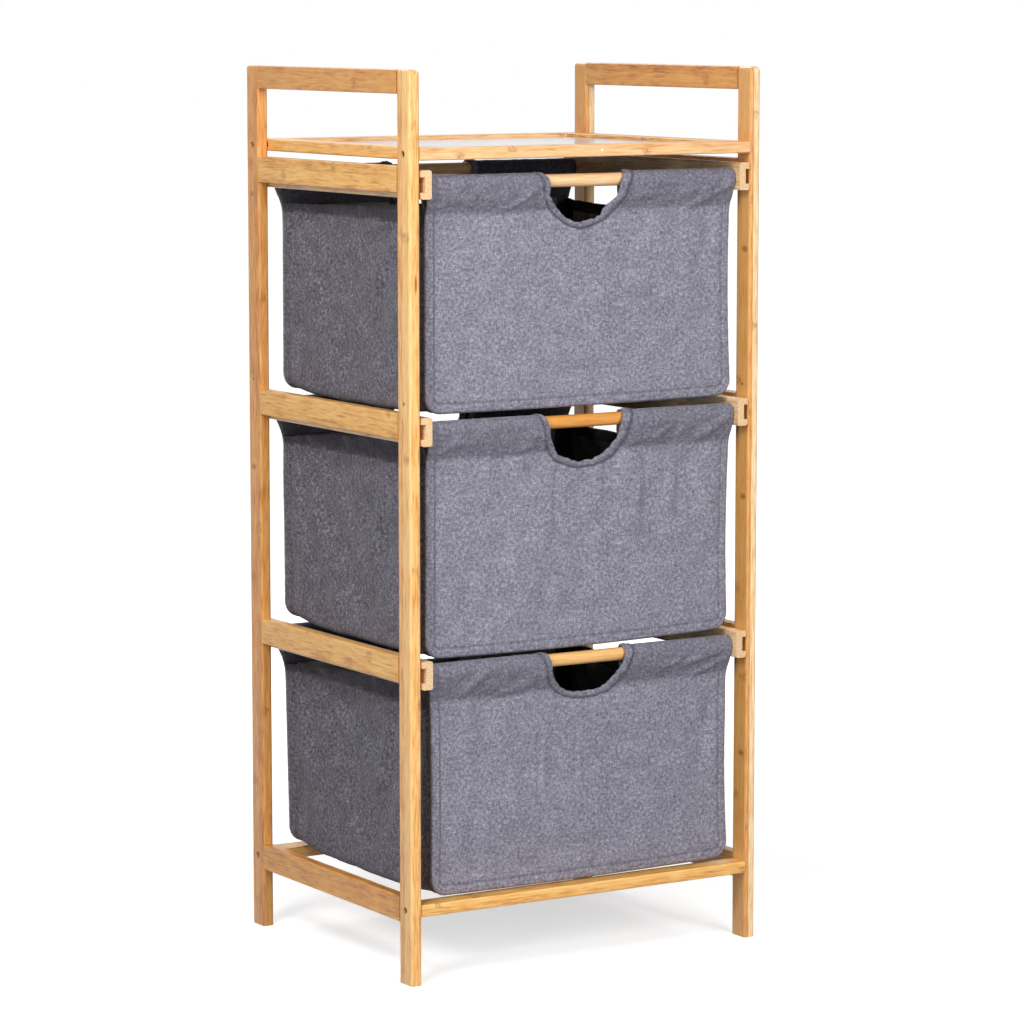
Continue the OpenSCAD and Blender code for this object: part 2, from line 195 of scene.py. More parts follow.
def laminated_bamboo(pieces, along, strips, pale, middle, deep, marks=(), shade_up_to=None):
    """Bamboo strips glued side by side, planed and given a satin lacquer. It shows straight
    fibres, a tone for each strip, and the scratchy brown rings of the cane at its joints.
    strips are their two widths in mm. A mark is its place, its three half sizes in mm, and the
    colours of its rim and its core. Up to the place in X given last, the wood is darkened:
    painted shade on a post's inner face."""
    material, tree = empty_material("Laminated_bamboo_" + pieces)
    place = add(tree, "TexCoord").outputs["Object"]
    apart = add(tree, "SeparateXYZ", place)
    run = apart.outputs[along]
    across = [apart.outputs[axis] for axis in "XYZ" if axis != along]
    lengthwise = drawn_out(tree, place, along, 40)

    # One tone for each strip, whose edges wander a little
    wander = add(tree, "TexNoise", lengthwise, Scale=3.0, Detail=1.0)
    steps = []
    for width, socket in zip(strips, across):
        scaled = add(tree, "Math", socket, 1000 / width, 0.48, operation="MULTIPLY_ADD")
        drifted = add(tree, "Math", wander, 0.12, scaled, operation="MULTIPLY_ADD")
        steps.append(add(tree, "Math", drifted, operation="FLOOR"))
    strip = add(tree, "CombineXYZ", steps[0], steps[1], 0.0)
    tone = add(tree, "TexWhiteNoise", strip)

    # Fibres under a millimetre apart, flecks about 2 mm wide and 25 mm long, and slower changes
    fibre = add(tree, "TexNoise", lengthwise, Scale=34.0, Detail=3.0, Roughness=0.6)
    fleck = add(tree, "TexNoise", drawn_out(tree, place, along, 12), Scale=40.0, Detail=2.0, Roughness=0.6)
    cloud = add(tree, "TexNoise", place, Scale=26.0, Detail=2.0)
    mixed = add(tree, "Math", fibre, 0.40, operation="MULTIPLY")
    for pattern, share in ((fleck, 0.62), (cloud, 0.22), (tone, 0.14)):
        mixed = add(tree, "Math", pattern, share, mixed, operation="MULTIPLY_ADD")
    wood = add(tree, "ValToRGB", mixed, stops=[(0.51, deep), (0.67, middle), (0.84, pale)])

    # Painted shade: up to that place in X the wood is darkened, for a post's inner face
    if shade_up_to is not None:
        inner_shade = add(tree, "Math", apart.outputs["X"], shade_up_to, operation="LESS_THAN")
        wood = add(tree, "Mix", inner_shade, wood, "#E1BC8A", data_type="RGBA", blend_type="MULTIPLY")

    # Cane joints about 230 mm apart, on about half of the strips: curly brown lines in a band
    turn = add(tree, "Math", run, 1 / 0.23, operation="MULTIPLY")
    turn = add(tree, "Math", tone, 7.0, turn, operation="MULTIPLY_ADD")
    cell = add(tree, "Math", turn, operation="FLOOR")
    off = add(tree, "Math", add(tree, "Math", turn, operation="FRACT"), 0.5, operation="SUBTRACT")
    off = add(tree, "Math", off, operation="ABSOLUTE")
    off = add(tree, "Math", add(tree, "TexNoise", place, Scale=150.0), 0.06, off, operation="MULTIPLY_ADD")
    curl = add(tree, "TexNoise", place, Scale=190.0, Detail=1.0)
    curl = add(tree, "Math", add(tree, "Math", curl, 0.5, operation="SUBTRACT"), operation="ABSOLUTE")
    line = add(tree, "MapRange", curl, 0.015, 0.075, 1.0, 0.42)
    near = add(tree, "MapRange", off, 0.036, 0.062, 1.0, 0.0)
    which = add(tree, "CombineXYZ", steps[0], steps[1], cell)
    chosen = add(tree, "Math", add(tree, "TexWhiteNoise", which), 0.45, operation="GREATER_THAN")
    spot = add(tree, "Math", line, near, operation="MULTIPLY")
    spot = add(tree, "Math", spot, chosen, operation="MULTIPLY")
    spot = add(tree, "Math", spot, 0.66, operation="MULTIPLY")
    wood = add(tree, "Mix", spot, wood, "#9A5A14", data_type="RGBA")

    # Cut ends show the fibre bundles as dots
    normal = add(tree, "SeparateXYZ", add(tree, "TexCoord").outputs["Normal"]).outputs[along]
    cut = add(tree, "Math", add(tree, "Math", normal, operation="ABSOLUTE"), 0.8, operation="GREATER_THAN")
    dots = add(tree, "TexVoronoi", place, Scale=900.0)
    ends = add(tree, "Mix", dots.outputs["Distance"], deep, pale, data_type="RGBA")
    wood = add(tree, "Mix", cut, wood, ends, data_type="RGBA")

    # Plugs and knots in the surface, and painted glints, each with a rim and a core
    for at, size, rim, core in marks:
        gap = add(tree, "VectorMath", place, at, operation="SUBTRACT")
        gap = add(tree, "VectorMath", gap, [s * MM for s in size], operation="DIVIDE")
        gap = add(tree, "VectorMath", gap, operation="LENGTH").outputs["Value"]
        for edge, code in ((1.0, rim), (0.62, core)):
            inside = add(tree, "MapRange", gap, edge, edge * 0.6, 0.0, 1.0)
            wood = add(tree, "Mix", inside, wood, code, data_type="RGBA")

    gloss = add(tree, "MapRange", fibre, 0.3, 0.7, 0.34, 0.46)
    relief = add(tree, "Bump", Strength=0.25, Distance=0.00008, Height=fibre)
    lacquer = {"Specular_IOR_Level": 0.4, "Coat_Weight": 0.22, "Coat_Roughness": 0.20}
    shader = add(tree, "BsdfPrincipled", Base_Color=wood, Roughness=gloss, Normal=relief, **lacquer)
    add(tree, "OutputMaterial", shader)
    return material


def turned_bamboo(name, pale, deep):
    """A dowel turned from one piece of cane: long fine lines and the same satin lacquer."""
    material, tree = empty_material(name)
    place = add(tree, "TexCoord").outputs["Object"]
    fibre = add(tree, "TexNoise", drawn_out(tree, place, "X", 45), Scale=30.0, Detail=3.0, Roughness=0.6)
    wood = add(tree, "ValToRGB", fibre, stops=[(0.34, deep), (0.62, pale)])
    gloss = add(tree, "MapRange", fibre, 0.3, 0.7, 0.30, 0.42)
    relief = add(tree, "Bump", Strength=0.2, Distance=0.00006, Height=fibre)
    lacquer = {"Coat_Weight": 0.2, "Coat_Roughness": 0.2}
    shader = add(tree, "BsdfPrincipled", Base_Color=wood, Roughness=gloss, Normal=relief, **lacquer)
    add(tree, "OutputMaterial", shader)
    return material


def heather_cloth(name, pale, middle, deep):
    """Melange polyester in plain weave: pale and dark fibres spun together, so that each yarn
    changes tone along its length. The real yarns are 0.4 mm apart; here they are drawn 1.3 to
    1.7 mm apart, so that they show from a few metres."""
    material, tree = empty_material(name)
    flat = add(tree, "UVMap", uv_map="UVMap")
    weft = add(tree, "VectorMath", flat, (0.4, 1, 1), operation="MULTIPLY")
    warp = add(tree, "VectorMath", flat, (1, 0.4, 1), operation="MULTIPLY")
    weft = add(tree, "TexNoise", weft, Scale=580.0, Detail=3.0, Roughness=0.7)
    warp = add(tree, "TexNoise", warp, Scale=580.0, Detail=3.0, Roughness=0.7)
    yarns = add(tree, "Math", weft, warp, operation="ADD")
    specks = add(tree, "TexNoise", flat, Scale=260.0, Detail=6.0, Roughness=0.77)
    cloud = add(tree, "TexNoise", flat, Scale=55.0, Detail=2.0)
    mixed = add(tree, "Math", specks, 2.0, yarns, operation="MULTIPLY_ADD")
    mixed = add(tree, "Math", cloud, 0.36, mixed, operation="MULTIPLY_ADD")
    mixed = add(tree, "Math", mixed, 1 / 4.36, operation="MULTIPLY")
    dyed = add(tree, "ValToRGB", mixed, stops=[(0.395, deep), (0.50, middle), (0.615, pale)])

    # Painted shade: the folded-over cloth of the sleeves and hems is darkened, for the shade that its slope
    # and the rails above give it
    nap = add(tree, "Attribute", attribute_name="nap").outputs["Fac"]
    shade = add(tree, "Math", nap, 0.29, operation="MULTIPLY")
    dyed = add(tree, "Mix", shade, dyed, "#26252D", data_type="RGBA")

    # Painted shade: a seam draws the cloth in, and the shade of that hollow is painted within about 2 mm of
    # its line
    seam = add(tree, "Attribute", attribute_name="to_seam").outputs["Fac"]
    seam = add(tree, "MapRange", seam, 0.0, 2.2, 1.0, 0.0, interpolation_type="SMOOTHSTEP")
    shade = add(tree, "Math", seam, 0.65, operation="MULTIPLY")
    dyed = add(tree, "Mix", shade, dyed, "#33323D", data_type="RGBA")

    # The weave itself: rows of yarn that pass over and under each other
    rows = add(tree, "TexWave", flat, Scale=250.0, Distortion=0.6, bands_direction="Y")
    columns = add(tree, "TexWave", flat, Scale=250.0, Distortion=0.6, bands_direction="X")
    weave = add(tree, "Math", rows, columns, operation="MULTIPLY")
    height = add(tree, "Math", yarns, 0.6, weave, operation="MULTIPLY_ADD")
    relief = add(tree, "Bump", Strength=0.55, Distance=0.00025, Height=height)
    seam = add(tree, "Math", seam, -1.0, operation="MULTIPLY")
    relief = add(tree, "Bump", Strength=0.7, Distance=0.0006, Height=seam, Normal=relief)
    fuzz = {"Specular_IOR_Level": 0.25, "Sheen_Weight": 0.12, "Sheen_Roughness": 0.45}
    shader = add(tree, "BsdfPrincipled", Base_Color=dyed, Roughness=0.88, Normal=relief, **fuzz)
    add(tree, "OutputMaterial", shader)
    return material


def coated_lining(name, pale, deep):
    """Dark coated lining inside the bags: matt, with a faint pebbled surface, and bound in
    black along its seams."""
    material, tree = empty_material(name)
    flat = add(tree, "UVMap", uv_map="UVMap")
    pebble = add(tree, "TexNoise", flat, Scale=420.0, Detail=3.0)
    dyed = add(tree, "ValToRGB", pebble, stops=[(0.15, deep), (0.85, pale)])
    seam = add(tree, "Attribute", attribute_name="to_seam").outputs["Fac"]
    bound = add(tree, "MapRange", seam, 5.5, 6.5, 1.0, 0.0)
    dyed = add(tree, "Mix", bound, dyed, "#0B0A0B", data_type="RGBA")
    relief = add(tree, "Bump", Strength=0.3, Distance=0.0002, Height=pebble)
    shader = add(tree, "BsdfPrincipled", Base_Color=dyed, Roughness=0.7, Normal=relief)
    add(tree, "OutputMaterial", shader)
    return material


def plain_finish(name, code, roughness, metallic=0.0, grain=0.0, uneven=0.14):
    """A laminated, plated or spun surface with a slight change of tone over it."""
    material, tree = empty_material(name)
    place = add(tree, "TexCoord").outputs["Object"]
    cloud = add(tree, "TexNoise", place, Scale=140.0, Detail=3.0)
    shade = add(tree, "MapRange", cloud, 0.3, 0.7, 1 - uneven, 1.0)
    tint = add(tree, "Mix", shade, "#000000", code, data_type="RGBA")
    gloss = add(tree, "MapRange", cloud, 0.3, 0.7, roughness * 0.85, roughness * 1.15)
    relief = add(tree, "Bump", Strength=grain, Distance=0.0001, Height=cloud)
    shader = add(tree, "BsdfPrincipled", Base_Color=tint, Roughness=gloss, Normal=relief, Metallic=metallic)
    add(tree, "OutputMaterial", shader)
    return material


# Marks in the bamboo: places in metres, and half sizes in mm with the colours of rim and core
brown_plug = ((3.2, 3.2, 3.2), "#D3A062", "#80501F")
pale_plug = ((2.8, 2.8, 2.8), "#E8C79A", "#A87B4C")
# A near-white spot: a painted glint, on the shelf's front rail
painted_glint = ((1.8, 1.8, 1.8), "#FFF3DC", "#FFF6E6")
small_knot = ((5.0, 7.0, 4.5), "#BC8549", "#A87238")
long_knot = ((2.0, 2.5, 14.0), "#D08A3C", "#9E5A1E")
post_outside, post_inside, plug_row, plug_height = 0.220, 0.207, 0.165, 0.6155
post_faces = (-post_outside, -post_inside, post_inside, post_outside)
post_marks = [((x, y, plug_height), *brown_plug) for x in post_faces for y in (-plug_row, plug_row)]
post_marks += [((-post_outside, 0.166, z), *small_knot) for z in (0.518, 0.820)]
post_marks += [((post_inside, -0.168, z), *small_knot) for z in (0.207, 0.492, 0.763)]
post_marks.append(((-0.2125, -0.1775, 0.7400), *long_knot))
rail_marks = [((0.0160, -0.1775, 0.8740), *painted_glint)]
bar_marks = [((x, y, 0.8470), *pale_plug) for x in (-0.193, 0.193) for y in (-0.098, 0.098)]

# Widths of the glued strips in mm, and the place in X where the painted shade on a right post's inner face
# ends
post_strips, side_strips, cross_strips, bar_strips = (6.5, 13.0), (6.5, 12.6), (13.0, 6.5), (6.5, 15.0)
inner_shade_to = 0.2114

post_bamboo = laminated_bamboo("front_post", "Z", post_strips, "#FDD08C", "#F4BB71", "#CE8B43", post_marks)
rear_bamboo = laminated_bamboo("rear_post", "Z", post_strips, "#ECB16A", "#DE9A50", "#B56C26", post_marks)
right_bamboo = laminated_bamboo(
    "right_posts", "Z", post_strips, "#FFEBC2", "#FAD5A0", "#D9A96F", post_marks, inner_shade_to
)
rail_bamboo = laminated_bamboo("side_rails", "Y", side_strips, "#F8C673", "#E8A953", "#B87120")
foot_bamboo = laminated_bamboo("foot_rails", "Y", side_strips, "#EEB156", "#DE973C", "#A96113")
handle_bamboo = laminated_bamboo("handle_rails", "Y", side_strips, "#E0A458", "#D08A3E", "#9A5716")
shelf_bamboo = laminated_bamboo("shelf_rails", "X", cross_strips, "#F4CA98", "#EBB67B", "#CB8F53", rail_marks)
base_bamboo = laminated_bamboo("base_rails", "X", cross_strips, "#F9CD7F", "#F3B765", "#CC8A3C")
bar_bamboo = laminated_bamboo("slide_bars", "Y", bar_strips, "#F8D9AC", "#EAC291", "#CA9C69", bar_marks)
dowel_bamboo = turned_bamboo("Turned_bamboo_dowels", "#F8D3A2", "#E3AC72")
amber_bamboo = turned_bamboo("Turned_bamboo_amber_dowel", "#E5A04A", "#C97D27")
honey_bamboo = turned_bamboo("Turned_bamboo_honey_dowel", "#F4C680", "#DFA05B")
cloth = heather_cloth("Melange_polyester_cloth", "#B8B6C4", "#858391", "#585663")
# The sides: the same cloth in darker colours, painted shade for the grazing light they get
shaded_side_cloth = heather_cloth("Melange_polyester_side_cloth", "#A9A6B2", "#67646F", "#34313A")
tape = heather_cloth("Melange_polyester_binding", "#A5A3B1", "#777583", "#4A4855")
lining = coated_lining("Coated_polyester_lining", "#8C867F", "#66615B")
thread = plain_finish("Spun_polyester_thread", "#6A6875", 0.8, grain=0.3)
board = plain_finish("White_laminate_shelf_board", "#DFE2EB", 0.16, uneven=0.03)
black_oxide = plain_finish("Black_oxide_steel_bolts", "#0A0908", 0.7, grain=0.2)
zinc = plain_finish("Zinc_plated_steel_screws", "#C9C5BA", 0.34, metallic=1.0)


# A CAD node has the finish of the first row whose words are in its name
finishes = {
    "frame_bolts": black_oxide,
    "screws": zinc,
    "shelf_panel": board,
    "front_dowel_2": amber_bamboo,
    "front_dowel_3": honey_bamboo,
    "dowel": dowel_bamboo,
    "right_front_post": right_bamboo,
    "right_rear_post": right_bamboo,
    "rear_post": rear_bamboo,
    "front_post": post_bamboo,
    "handle": handle_bamboo,
    "_bar_": bar_bamboo,
    "shelf_front_rail": shelf_bamboo,
    "shelf_rear_rail": shelf_bamboo,
    "base_front_rail": base_bamboo,
    "base_rear_rail": base_bamboo,
    "base_side_rail": foot_bamboo,
}


def finish_for(node):
    """The finish of a CAD node, which is that of the side rails if no row names it."""
    return next((finish for words, finish in finishes.items() if words in node), rail_bamboo)


for node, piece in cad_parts.items():
    if not node.startswith("bag_"):
        piece.data.materials.clear()
        piece.data.materials.append(finish_for(node))


# Cloth


def ripples(x, y, length, seed, heading=0.0, spread=360.0, count=9):
    """Seeded waves about that long over a surface, with headings inside the spread in degrees."""
    chance = np.random.default_rng(seed)
    total = 0.0
    for _ in range(count):
        angle = math.radians(heading + spread * (chance.random() - 0.5))
        rate = 2 * math.pi / (length * chance.uniform(0.75, 1.35))
        phase = chance.uniform(0, 2 * math.pi)
        total = total + np.cos(rate * (x * math.cos(angle) + y * math.sin(angle)) + phase)
    return total / math.sqrt(count / 2)


def rays(x, y, at, folds, reach, seed):
    """Folds that fan out from a point where cloth is held, tallest at that reach from it."""
    dx, dy = x - at[0], y - at[1]
    away = np.hypot(dx, dy) / reach
    phase = np.random.default_rng(seed).uniform(0, 2 * math.pi)
    wave = np.arcsin(0.92 * np.cos(folds * np.arctan2(dy, dx) + phase)) / math.asin(0.92)
    return wave * away * np.exp(1 - away)


def bump(distance, width):
    """1 at no distance, falling away over that width on either side."""
    return np.exp(-((distance / width) ** 2))


def ease(value, reach=1.0):
    """0 to 1 with a soft start and end, over that reach."""
    value = np.clip(value / reach, 0, 1)
    return value * value * (3 - 2 * value)


def through(three, share):
    """A curve through three values, at the shares 0, a half and 1."""
    first, middle, last = three
    start, end = first * (1 - share) * (1 - 2 * share), last * share * (2 * share - 1)
    return start + middle * 4 * share * (1 - share) + end


def off_line(x, q, from_x, from_q, to_x, to_q):
    """How far places lie below the line between two others, less than 0 above it, and how much
    of a fold along it is left there: it fades at the line's two ends."""
    run_x, run_q = to_x - from_x, to_q - from_q
    size = math.hypot(run_x, run_q)
    along = ((x - from_x) * run_x + (q - from_q) * run_q) / size**2
    below = ((x - from_x) * run_q - (q - from_q) * run_x) / size * (1 if run_x > 0 else -1)
    return below, np.sqrt(np.clip(1.15 - np.abs(2 * along - 1), 0, 1))


def crease(x, q, from_x, from_q, to_x, to_q, height, width):
    """A fold between two places: a ridge with a hollow along its lower side."""
    below, taper = off_line(x, q, from_x, from_q, to_x, to_q)
    return 1.2 * height * taper * (bump(below, width) - 0.7 * bump(below - 1.6 * width, width))


def pull(x, q, from_x, from_q, to_x, to_q, depth):
    """A line along which cloth is drawn in between two places: steep below the line, and slow to
    come out again above it."""
    below, taper = off_line(x, q, from_x, from_q, to_x, to_q)
    reach = np.where(below > 0, PULL_BELOW, PULL_ABOVE)
    return -depth * taper * np.exp(0.1 - np.hypot(below / reach, 0.1))


def side_view():
    """Section of a panel as rows of length, outward and height: from the bottom seam up the
    outside, round the dowel and down to the sleeve's seam. Length is 0 at that seam outside."""
    foot = np.array([CLOTH / 2 + 0.1, SLEEVE_SEAM])
    back = np.array([-CLOTH / 2 - 0.9, SLEEVE_SEAM])
    oval = np.array([SLEEVE_WIDE, SLEEVE_HIGH])
    touch = []
    for end, turn in ((foot / oval, 1), (back / oval, -1)):
        touch.append(math.atan2(end[1], end[0]) + turn * math.acos(1 / np.hypot(*end)))
    turn = np.linspace(touch[0], touch[1] + 2 * math.pi, 40)
    over = np.stack([np.cos(turn), np.sin(turn)], 1) * oval
    share = np.linspace(0, 1, 24)[:, None]
    up = np.linspace(PANEL_BOTTOM, SLEEVE_SEAM - 3, 90)
    points = [np.stack([up * 0, up], 1), foot + (over[0] - foot) * share[:-1], over]
    points += [over[-1] + (back - over[-1]) * share[1:], back[None] - [[0, 4.0]]]
    points = np.concatenate(points)
    length = np.concatenate([[0], np.cumsum(np.hypot(*np.diff(points, axis=0).T))])
    return length - length[len(up)], points[:, 0], points[:, 1]


LENGTH, OUTWARD, HEIGHT = side_view()
LOW, HIGH = LENGTH[0], LENGTH[-1]
top = int(np.argmax(HEIGHT))
AT_TOP = float(LENGTH[top])
AT_DOWEL = float(np.interp(0.0, HEIGHT[:top], LENGTH[:top]))  # length at the dowel's height outside


def on_section(q):
    """Outward and height of the section at a length along it."""
    return np.interp(q, LENGTH, OUTWARD), np.interp(q, LENGTH, HEIGHT)


def hand_half(q):
    """Half width of the hand cut-out, which flares where its edges go over the dowel."""
    return HAND_HALF + HAND_FLARE * ease(q - AT_DOWEL + 9, 26)


def out_of_hand(x, q, hand):
    """Distance in mm from the edge of the hand cut-out, less than 0 inside it."""
    middle, deep, power = hand
    below = np.clip(AT_DOWEL - q, 0, None)
    shape = (np.abs((x - middle) / hand_half(q)) ** power + (below / deep) ** power) ** (1 / power)
    return (shape - 1) * HAND_HALF


def tape_width(from_middle):
    """Visible width of the binding in mm: narrow under the hole and broad at its right side."""
    right, left = (ease(side * from_middle / HAND_HALF - 0.35, 0.5) for side in (1, -1))
    return TAPE * (0.62 + 0.45 * right + 0.16 * left)


def corner_in(facts, across, depth, low):
    """How far the bag leans in from its full width, in mm: at that place across (-1 left, 1
    right), from the back (0) to the front (1) and from its top (0) to its bottom (1)."""
    total = 0.0
    for number, leans in enumerate(facts["corners_in"]):
        here = (across < 0) if number % 2 == 0 else (across >= 0)
        near = depth if number > 1 else 1 - depth
        total = total + here * near * through(leans, low)
    return total * np.abs(across) ** 2


def hangs_free(z):
    """0 at the height of the dowels, 1 where the bag hangs below its sleeves and may lean in."""
    return ease(-8 - z, 42)


class Panel:
    """Front or back panel of one hamper, which goes over its dowel and comes back as the sleeve."""

    def __init__(self, tier, side):
        self.facts = facts = HAMPERS[tier]
        self.side = side
        if side < 0:
            self.seed, self.creases = facts["seed"], facts["creases"]
            self.hand, self.bottom_drop = facts["hand"], facts["bottom_drop"]
        else:
            # The photograph shows no back panel, so each has the folds of another hamper's front
            self.seed, self.creases = facts["seed"] + 500, HAMPERS[tier % 3 + 1]["creases"]
            self.hand, self.bottom_drop = REAR_HAND, REAR_DROP
        low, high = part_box(("front" if side < 0 else "rear") + f"_dowel_{tier}")
        middle = (low + high) / 2 / MM
        self.dowel_y, self.dowel_z = middle.y, middle.z

    def inset(self, x, q):
        """Distance from the panel's edge, in mm."""
        cx, cq = np.abs(x) - (SLEEVE_HALF - CORNER), (LOW + CORNER) - q
        rounded = CORNER - np.hypot(np.clip(cx, 0, None), np.clip(cq, 0, None))
        return np.where((cx > 0) & (cq > 0), rounded, np.minimum(SLEEVE_HALF - np.abs(x), q - LOW))

    def to_seam(self, x, q):
        """Distance from the nearest line of topstitching or from the binding, in mm."""
        inset = self.inset(x, q)
        edge = np.minimum(np.abs(inset - SEAM_INSET), np.abs(inset - SEAM_INSET / 2) + 1.1)
        # The cloth along the binding's outer edge gets the same painted seam shade, unevenly
        binding = np.abs(out_of_hand(x, q, self.hand) - tape_width(x - self.hand[0]) - 0.6)
        binding = binding + 0.9 * np.clip(ripples(x, q, 22, self.seed + 12), 0, None)
        return np.minimum(np.where(q < 0, edge, 20), binding)

    def nap(self, q):
        """Painted shade: 1 on the sleeve and more where it comes back inside, 0 on the panel."""
        return np.where(q > AT_TOP + 3, 2.6, np.where(q > 0, 1.0, 0.0))

    def relief(self, x, q):
        """How far the cloth stands out from its plain section, in mm."""
        seed = self.seed
        edge = self.inset(x, q)
        calm = np.clip(edge / 22, 0, 1)
        sleeve = np.clip(q / 8, 0, 1)
        outside = np.clip((AT_TOP + 4 - q) / 6, 0, 1)
        # Soft waves over the panel, and the folds of this one hamper
        out = (1 - sleeve) * calm * (
            0.8 * ripples(x, q, 120, seed)
            + 0.30 * ripples(x, q, 42, seed + 1)
            + 0.45 * ripples(x, q, 46, seed + 2, 0, 24) * np.exp(np.clip(q, None, 0) / 95)
        )
        for fold in self.creases:
            out = out + outside * crease(x, q, *fold) * (1 + 0.4 * ease(q + 6, 12))
        # The sleeve: slack in front of the dowel, with small folds from its ends and the cut-out
        slack = np.sin(np.clip(q / AT_DOWEL, 0, 1) ** 1.4 * math.pi)
        fans = ((192, 9, 30), (-192, 9, 30), (-50, 8, 26), (50, 8, 26))  # place, folds and reach
        pulls = 0.0
        for number, (at, folds, reach) in enumerate(fans):
            pulls = pulls + 0.5 * rays(x, q, (at, 34), folds, reach, seed + 3 + number)
        waves = 0.55 * ripples(x, q, 60, seed + 7, 0, 50) + 0.50 * ripples(x, q, 24, seed + 11)
        out = out + slack * (1.5 + pulls + waves)
        # The panel stands out a little below the sleeve's seam, and the sleeve puckers above it
        out = out + 0.5 * np.clip(1 - q, 0, 1) * np.exp(np.clip(q, None, 0) / 12) * outside
        out = out + 0.35 * ripples(x, q, 15, seed + 8, 0, 20) * np.exp(-np.abs(q) / 9) * calm
        # Where the seam allowance fills the cloth between the edge and the topstitching
        on_panel = np.clip(1 - q / 6, 0, 1)
        out = out + on_panel * (1.0 * bump(edge - 8, 2.2) - 0.6 * bump(edge - SEAM_INSET - 1.2, 2.0))
        out = out + on_panel * (0.7 * bump(edge - 3.2, 1.8) - 0.5 * bump(edge - SEAM_INSET / 2, 1.2))
        out = out + on_panel * 0.3 * ripples(x, q, 12, seed + 9) * bump(edge - SEAM_INSET, 7)
        out = out - 1.6 * np.clip(1 - edge / 3.2, 0, 1) ** 2 * on_panel
        # Fine crinkle
        return out + 0.10 * ripples(x, q, 13, seed + 10)

    def place(self, x, q, lift=0.0):
        """Points in mm in the row frame for places on the flat cut, lifted off the cloth."""
        step = 1.5
        out, high = on_section(q)
        run_out, run_high = np.subtract(on_section(q + step), on_section(q - step))
        size = np.hypot(run_out, run_high) + 1e-9
        face_out, face_high = run_high / size, -run_out / size
        relief = self.relief(x, q)
        # Near its seam and round the dowel the cloth has no room to go inwards
        relief = np.where(q > -9, np.maximum(relief, -0.1 - 1.2 * np.clip(-q / 9, 0, 1)), relief) + lift
        out = out + face_out * relief
        high = high + face_high * relief
        # The bottom edge hangs down unevenly
        world = -self.side * x / SLEEVE_HALF
        low = np.clip(q / LOW, 0, 1)
        high = high - low * through(self.bottom_drop, (np.clip(world, -1, 1) + 1) / 2)
        # The panel is a little narrower than its sleeve, and its sides lean in
        free = hangs_free(high)
        front = 1.0 if self.side < 0 else 0.0
        width = SLEEVE_HALF - (SLEEVE_HALF - PANEL_HALF) * ease(-12 - high, 19)
        lean = free * corner_in(self.facts, np.clip(world, -1, 1), front, low)
        leaned = world * width - np.sign(world) * lean
        return np.stack([leaned, self.side * (abs(self.dowel_y) + out), self.dowel_z + high], -1)

    def cut(self, x, q):
        """Moves places on a square-cornered cloth onto the cut with rounded bottom corners."""
        ux = (np.abs(x) - (SLEEVE_HALF - CORNER)) / CORNER
        uq = (LOW + CORNER - q) / CORNER
        corner = (ux > 0) & (uq > 0)
        ux, uq = np.clip(ux, 0, 1), np.clip(uq, 0, 1)
        round_x = np.sign(x) * (SLEEVE_HALF - CORNER + CORNER * ux * np.sqrt(1 - uq**2 / 2))
        round_q = LOW + CORNER - CORNER * uq * np.sqrt(1 - ux**2 / 2)
        return np.where(corner, round_x, x), np.where(corner, round_q, q)


